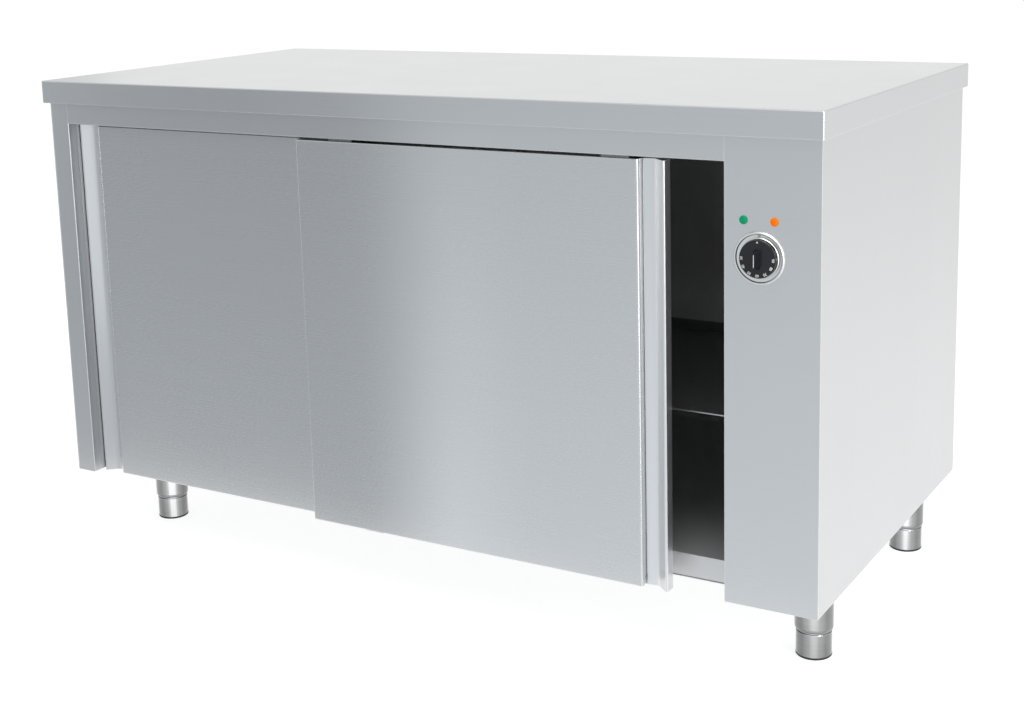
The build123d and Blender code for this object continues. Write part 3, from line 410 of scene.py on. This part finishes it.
FINISHES = {
    "worktop_steel": brushed_steel("worktop_steel", STEEL, 0.3, blur=0.0),
    "cabinet_steel": brushed_steel("cabinet_steel", STEEL, 0.3),
    "door_steel": brushed_steel("door_steel", STEEL, 0.28),
    "lining_steel": lining_steel("lining_steel"),
    "galvanised_steel": galvanised("galvanised_steel"),
    "zinc_plated": plated("zinc_plated", ZINC_WITH_PAINTED_SHADE, 0.3),
    "track_aluminium": extruded_aluminium("track_aluminium"),
    "mineral_wool": mineral_wool("mineral_wool"),
    "black_rubber": black_rubber("black_rubber"),
    "white_nylon": moulded("white_nylon", NYLON, 0.42),
    "knob_plastic": dial_black("knob_plastic"),
    "bezel_chrome": plated("bezel_chrome", CHROME, 0.3),
    "black_plastic": moulded("black_plastic", BLACK, 0.45),
    "green_lens": lamp_lens("green_lens", GREEN),
    "orange_lens": lamp_lens("orange_lens", ORANGE),
    "element_steel": scaled_steel("element_steel"),
    "brass_copper": drawn_copper("brass_copper"),
    "foot_steel": satin_tube("foot_steel"),
    "terminal_ceramic": glazed_ceramic("terminal_ceramic"),
}
GRIP_FINISH = brushed_steel("grip_steel", STRIP_STEEL, grain=GRAIN_ALONG_Z, blur=0.6)
DECK_FINISH = brushed_steel("deck_steel", STEEL, 0.42, blur=0.0, metal=0.6)
# the mid shelf's steel, darkened as painted shade, with no lighter edges
SHELF_PAINTED_SHADE_FINISH = brushed_steel("shelf_steel_painted_shade", SHELF_STEEL_PAINTED_SHADE, 0.4, blur=0.0, rubbed=0.0)
# white of the dial's printed figures and pointer, also the painted highlight on the grip bar
WHITE_INK_AND_PAINTED_HIGHLIGHT = ink("dial_white", WHITE)
DARK_INK = ink("index_dark", INDEX_BLACK)
OWN_FINISH = {  # pieces that look different from the rest of their slot
    "right_door_grip": GRIP_FINISH,
    "left_door_grip": GRIP_FINISH,
    "bottom_shelf": DECK_FINISH,
    "mid_shelf": SHELF_PAINTED_SHADE_FINISH,
}

for part in frame["record"]["subparts"]:
    mesh = frame["nodes"][part["node"]].data
    mesh.materials.clear()
    mesh.materials.append(OWN_FINISH.get(part["node"], FINISHES[part["material_slot"]]))


# ---------------------------------------------------------------- modelling
def clear_selection():
    """Object mode, and nothing selected."""
    if bpy.context.mode != "OBJECT":
        bpy.ops.object.mode_set(mode="OBJECT")
    bpy.ops.object.select_all(action="DESELECT")


def settle(name, finish, body):
    """Name the active piece, apply its place, give it its finish and let it ride on its body."""
    piece = bpy.context.object
    bpy.ops.object.transform_apply(location=True, rotation=True, scale=True)
    piece.name = name
    piece.data.name = name
    piece.data.materials.clear()
    piece.data.materials.append(finish)
    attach(piece, body)
    clear_selection()
    return piece


knob_low, knob_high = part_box("thermostat_knob")
ring_low, ring_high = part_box("thermostat_bezel")
dial = (knob_low + knob_high) / 2
dial_radius = (knob_high.x - knob_low.x) / 2
ring_radius = (ring_high.x - ring_low.x) / 2
panel_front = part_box("control_panel")[0].y
dial_lift = 9.2 * MM  # the skirt's face in front of the panel
index_lift = 1.8 * MM  # the ring's slope in front of the panel, where the index is
mark_lift = 0.08 * MM
figure_ring = dial_radius - 3.8 * MM
figure_height = 5.2 * MM
pointer_radius = 1.7 * MM


def dial_place(angle, radius):
    """A point on the dial face; the angle is clockwise from the top, seen from the front."""
    return (
        dial.x + radius * math.sin(angle),
        panel_front - dial_lift - mark_lift,
        dial.z + radius * math.cos(angle),
    )


def dial_figure(text, angle):
    """One raised figure on the dial, its foot towards the middle."""
    clear_selection()
    bpy.ops.object.text_add(rotation=(math.pi / 2, angle, 0))
    figure = bpy.context.object
    figure.rotation_mode = "XYZ"
    figure.data.body = text
    figure.data.align_x = "CENTER"
    figure.data.align_y = "CENTER"
    figure.data.size = figure_height
    figure.data.extrude = mark_lift
    figure.data.offset = 0.05 * MM
    figure.location = dial_place(angle, figure_ring)
    figure.rotation_euler = (Matrix.Rotation(angle, 3, "Y") @ Matrix.Rotation(math.pi / 2, 3, "X")).to_euler()
    bpy.ops.object.convert(target="MESH")
    return settle(f"dial_figure_{text}", WHITE_INK_AND_PAINTED_HIGHLIGHT, "thermostat_knob")


def soften_edges(width):
    """Bevel every edge of the active piece."""
    bpy.ops.object.mode_set(mode="EDIT")
    bpy.ops.mesh.select_all(action="SELECT")
    bpy.ops.mesh.bevel(offset=width, segments=2, affect="EDGES")
    bpy.ops.object.mode_set(mode="OBJECT")


def dial_pointer():
    """The raised triangle that stands at the index when the heat is off."""
    clear_selection()
    bpy.ops.mesh.primitive_cylinder_add(vertices=3, radius=pointer_radius, depth=2 * mark_lift)
    pointer = bpy.context.object
    pointer.rotation_euler = (math.pi / 2, 0, 0)
    pointer.location = dial_place(0, figure_ring + 0.6 * MM)
    soften_edges(0.05 * MM)
    return settle("dial_pointer", WHITE_INK_AND_PAINTED_HIGHLIGHT, "thermostat_knob")


def soft_bar(size, place, edge):
    """A small bar with rounded edges, left as the active piece."""
    clear_selection()
    bpy.ops.mesh.primitive_cube_add(size=1)
    bar = bpy.context.object
    bar.scale = size
    bar.location = place
    bpy.ops.object.transform_apply(location=False, rotation=False, scale=True)
    soften_edges(edge)


def index_mark(name, radius, width):
    """A short dark dash on the ring round the dial."""
    place = (dial.x, panel_front - index_lift, dial.z + radius)
    soft_bar((width, 0.5 * MM, 0.7 * MM), place, 0.2 * MM)
    return settle(name, DARK_INK, "cabinet")


def painted_bar_highlight():
    """Painted highlight: a thin white line along the crest of the grip bar."""
    soft_bar((0.9 * MM, 0.3 * MM, 17 * MM), (dial.x, knob_low.y - 0.05 * MM, dial.z), 0.12 * MM)
    return settle("painted_bar_highlight", WHITE_INK_AND_PAINTED_HIGHLIGHT, "thermostat_knob")


FIRST_FIGURE, FIGURE_STEP = 30, 10
FIGURE_CLOCK = (270, 240, 210, 180, 150, 120, 90)  # degrees clockwise from the top
for index, degrees in enumerate(FIGURE_CLOCK):
    dial_figure(str(FIRST_FIGURE + FIGURE_STEP * index), math.radians(degrees))
dial_pointer()
index_mark("index_mark_outer", ring_radius - 4.9 * MM, 5.0 * MM)
index_mark("index_mark_inner", ring_radius - 6.6 * MM, 3.6 * MM)
# the white line on the grip bar's crest is a painted highlight
painted_bar_highlight()

# ---------------------------------------------------------------- studio
IMAGE_WIDTH, IMAGE_HEIGHT = 1024, 714
SENSOR_WIDTH = 36  # mm
CAMERA_PLACE = Vector((1.38151, -2.28210, 1.07711))
CAMERA_YAW, CAMERA_PITCH, CAMERA_ROLL = 0.53309, -0.18497, 0.02551
FOCAL_PIXELS = 1585.78
OPTICAL_CENTRE = (517.2, 220)  # pixels from the image's top left corner
VIEW_LIMIT = 200  # m

# levels of the room and the floor: as they light things, as the camera sees them, and in the metal
ROOM_LIGHT = 0.55
ROOM_IN_METAL = 0.8
FLOOR_SIZE = 90
FLOOR_BOUNCE = (0.8, 0.8, 0.8, 1)
FLOOR_SHADOW = (0.42, 0.42, 0.42, 1)
FLOOR_SEEN, FLOOR_IN_METAL = 0.83, 0.74
CARD_SLANT = (1.0, -0.683, 0.0)
CARD_TINT = (0.945, 1.0, 1.045)
CARD_CORNERS = ((-4.5, -0.5, 0.03), (1.05, -0.5, 0.03), (0.2, -3.4, 2.8), (-6.0, -3.4, 2.8))
# (distance along the slant, tone)
CARD_TONES = ((-4.0, 1.0), (-1.1, 1.0), (-0.9, 0.5), (0.18, 0.5), (0.34, 0.82), (0.5, 0.73), (1.3, 0.78))
CARD_FOOT, CARD_HEAD = 1.17, 0.88  # brightness at the floor and at the height below
CARD_HEAD_HEIGHT = 0.75
LAMPS = (  # name, place, target, width and height, watts
    ("key_lamp", (1.2, -1.6, 3.6), (0, 0, 0.4), (2.4, 2.4), 60),
    ("edge_lamp", (3.0, -1.7, 1.2), (0.3, -0.3, 0.6), (0.7, 2.4), 30),
    ("side_lamp", (3.8, 1.2, 1.8), (0.7, 0, 0.5), (3.0, 3.0), 38),
    ("back_lamp", (-1.6, 3.6, 1.7), (0, 0, 0.8), (4.5, 1.6), 6),
)


def camera():
    """Set by the place and focal length at which the cabinet's corners fall right."""
    data = bpy.data.cameras.new("camera")
    data.sensor_width = SENSOR_WIDTH
    data.lens = FOCAL_PIXELS / IMAGE_WIDTH * data.sensor_width
    data.shift_x = (IMAGE_WIDTH / 2 - OPTICAL_CENTRE[0]) / IMAGE_WIDTH
    data.shift_y = (OPTICAL_CENTRE[1] - IMAGE_HEIGHT / 2) / IMAGE_WIDTH
    data.clip_end = VIEW_LIMIT
    made = bpy.data.objects.new("camera", data)
    aim = (
        Matrix.Rotation(CAMERA_YAW, 3, "Z")
        @ Matrix.Rotation(CAMERA_PITCH, 3, "X")
        @ Matrix.Rotation(CAMERA_ROLL, 3, "Y")
    )
    right, forward, up = aim.col
    turned = Matrix((right, up, -forward)).transposed()
    made.matrix_world = Matrix.Translation(CAMERA_PLACE) @ turned.to_4x4()
    bpy.context.scene.collection.objects.link(made)
    bpy.context.scene.camera = made


def seen_directly(tree):
    """1 for rays from the camera and for reflected and refracted rays, 0 for diffuse light."""
    path = tree.nodes.new("ShaderNodeLightPath")
    total = None
    for name in ("Is Camera Ray", "Is Glossy Ray", "Is Transmission Ray"):
        if total is None:
            total = path.outputs[name]
            continue
        adding = tree.nodes.new("ShaderNodeMath")
        adding.operation = "MAXIMUM"
        tree.links.new(total, adding.inputs[0])
        tree.links.new(path.outputs[name], adding.inputs[1])
        total = adding.outputs[0]
    return total


def between(tree, source, low, high):
    """A number that runs from low to high while the source runs from 0 to 1."""
    made = tree.nodes.new("ShaderNodeMapRange")
    made.inputs["To Min"].default_value = low
    made.inputs["To Max"].default_value = high
    tree.links.new(source, made.inputs["Value"])
    return made


def for_the_camera(tree, in_metal, seen):
    """One level for the camera's own rays and another for all others."""
    path = tree.nodes.new("ShaderNodeLightPath")
    return between(tree, path.outputs["Is Camera Ray"], in_metal, seen).outputs[0]


def white_room():
    """World: white where it is seen, greyer in the metal, and a softer level where it lights."""
    world = bpy.data.worlds.new("room")
    world.use_nodes = True
    tree = world.node_tree
    tree.nodes.clear()
    background = tree.nodes.new("ShaderNodeBackground")
    tree.links.new(for_the_camera(tree, ROOM_IN_METAL, 1.0), background.inputs["Color"])
    level = between(tree, seen_directly(tree), ROOM_LIGHT, 1.0)
    tree.links.new(level.outputs[0], background.inputs["Strength"])
    output = tree.nodes.new("ShaderNodeOutputWorld")
    tree.links.new(background.outputs[0], output.inputs["Surface"])
    bpy.context.scene.world = world


def floor():
    """Pale floor that glows near white where it is seen and keeps the cabinet's shadow."""
    clear_selection()
    bpy.ops.mesh.primitive_plane_add(size=FLOOR_SIZE)
    made = bpy.context.object
    made.name = "floor"
    material = bpy.data.materials.new("pale_floor")
    material.use_nodes = True
    tree = material.node_tree
    tree.nodes.clear()
    plain = tree.nodes.new("ShaderNodeBsdfDiffuse")
    plain.inputs["Color"].default_value = FLOOR_BOUNCE
    lit = tree.nodes.new("ShaderNodeBsdfDiffuse")
    lit.inputs["Color"].default_value = FLOOR_SHADOW
    glow = tree.nodes.new("ShaderNodeEmission")
    tree.links.new(for_the_camera(tree, FLOOR_IN_METAL, FLOOR_SEEN), glow.inputs["Strength"])
    both = tree.nodes.new("ShaderNodeAddShader")
    tree.links.new(lit.outputs[0], both.inputs[0])
    tree.links.new(glow.outputs[0], both.inputs[1])
    choice = tree.nodes.new("ShaderNodeMixShader")
    tree.links.new(seen_directly(tree), choice.inputs[0])
    tree.links.new(plain.outputs[0], choice.inputs[1])
    tree.links.new(both.outputs[0], choice.inputs[2])
    output = tree.nodes.new("ShaderNodeOutputMaterial")
    tree.links.new(choice.outputs[0], output.inputs["Surface"])
    made.data.materials.append(material)


def reflection_card():
    """Grey studio card in front, seen only in the metal: bright, dark, bright and pale from left to right."""
    mesh = bpy.data.meshes.new("reflection_card")
    mesh.from_pydata(CARD_CORNERS, [], [(0, 1, 2, 3)])
    made = bpy.data.objects.new("reflection_card", mesh)
    bpy.context.scene.collection.objects.link(made)
    material = bpy.data.materials.new("card_grey")
    material.use_nodes = True
    tree = material.node_tree
    tree.nodes.clear()
    place = tree.nodes.new("ShaderNodeTexCoord")
    slant = tree.nodes.new("ShaderNodeVectorMath")
    slant.operation = "DOT_PRODUCT"
    slant.inputs[1].default_value = CARD_SLANT
    tree.links.new(place.outputs["Object"], slant.inputs[0])
    across = between(tree, slant.outputs["Value"], 0.0, 1.0)
    first, last = CARD_TONES[0][0], CARD_TONES[-1][0]
    across.inputs["From Min"].default_value = first
    across.inputs["From Max"].default_value = last
    ramp = tree.nodes.new("ShaderNodeValToRGB")
    while len(ramp.color_ramp.elements) < len(CARD_TONES):
        ramp.color_ramp.elements.new(1.0)
    for element, (where, tone) in zip(ramp.color_ramp.elements, CARD_TONES):
        element.position = (where - first) / (last - first)
        element.color = (*(tone * part for part in CARD_TINT), 1)
    tree.links.new(across.outputs[0], ramp.inputs[0])
    height = tree.nodes.new("ShaderNodeSeparateXYZ")
    tree.links.new(place.outputs["Object"], height.inputs[0])
    level = between(tree, height.outputs["Z"], CARD_FOOT, CARD_HEAD)
    level.inputs["From Max"].default_value = CARD_HEAD_HEIGHT
    glow = tree.nodes.new("ShaderNodeEmission")
    tree.links.new(ramp.outputs[0], glow.inputs["Color"])
    tree.links.new(level.outputs[0], glow.inputs["Strength"])
    output = tree.nodes.new("ShaderNodeOutputMaterial")
    tree.links.new(glow.outputs[0], output.inputs["Surface"])
    made.data.materials.append(material)
    made.visible_camera = False
    made.visible_diffuse = False
    made.visible_shadow = False


def soft_lamp(name, place, target, size, power):
    """A rectangular lamp turned to its target."""
    data = bpy.data.lights.new(name, "AREA")
    data.shape = "RECTANGLE"
    data.size, data.size_y = size
    data.energy = power
    made = bpy.data.objects.new(name, data)
    made.location = place
    made.rotation_euler = (Vector(place) - Vector(target)).to_track_quat("Z", "Y").to_euler()
    bpy.context.scene.collection.objects.link(made)


camera()
white_room()
floor()
reflection_card()
for lamp in LAMPS:
    soft_lamp(*lamp)

bpy.context.scene.view_settings.view_transform = "Standard"

bpy.context.view_layer.update()
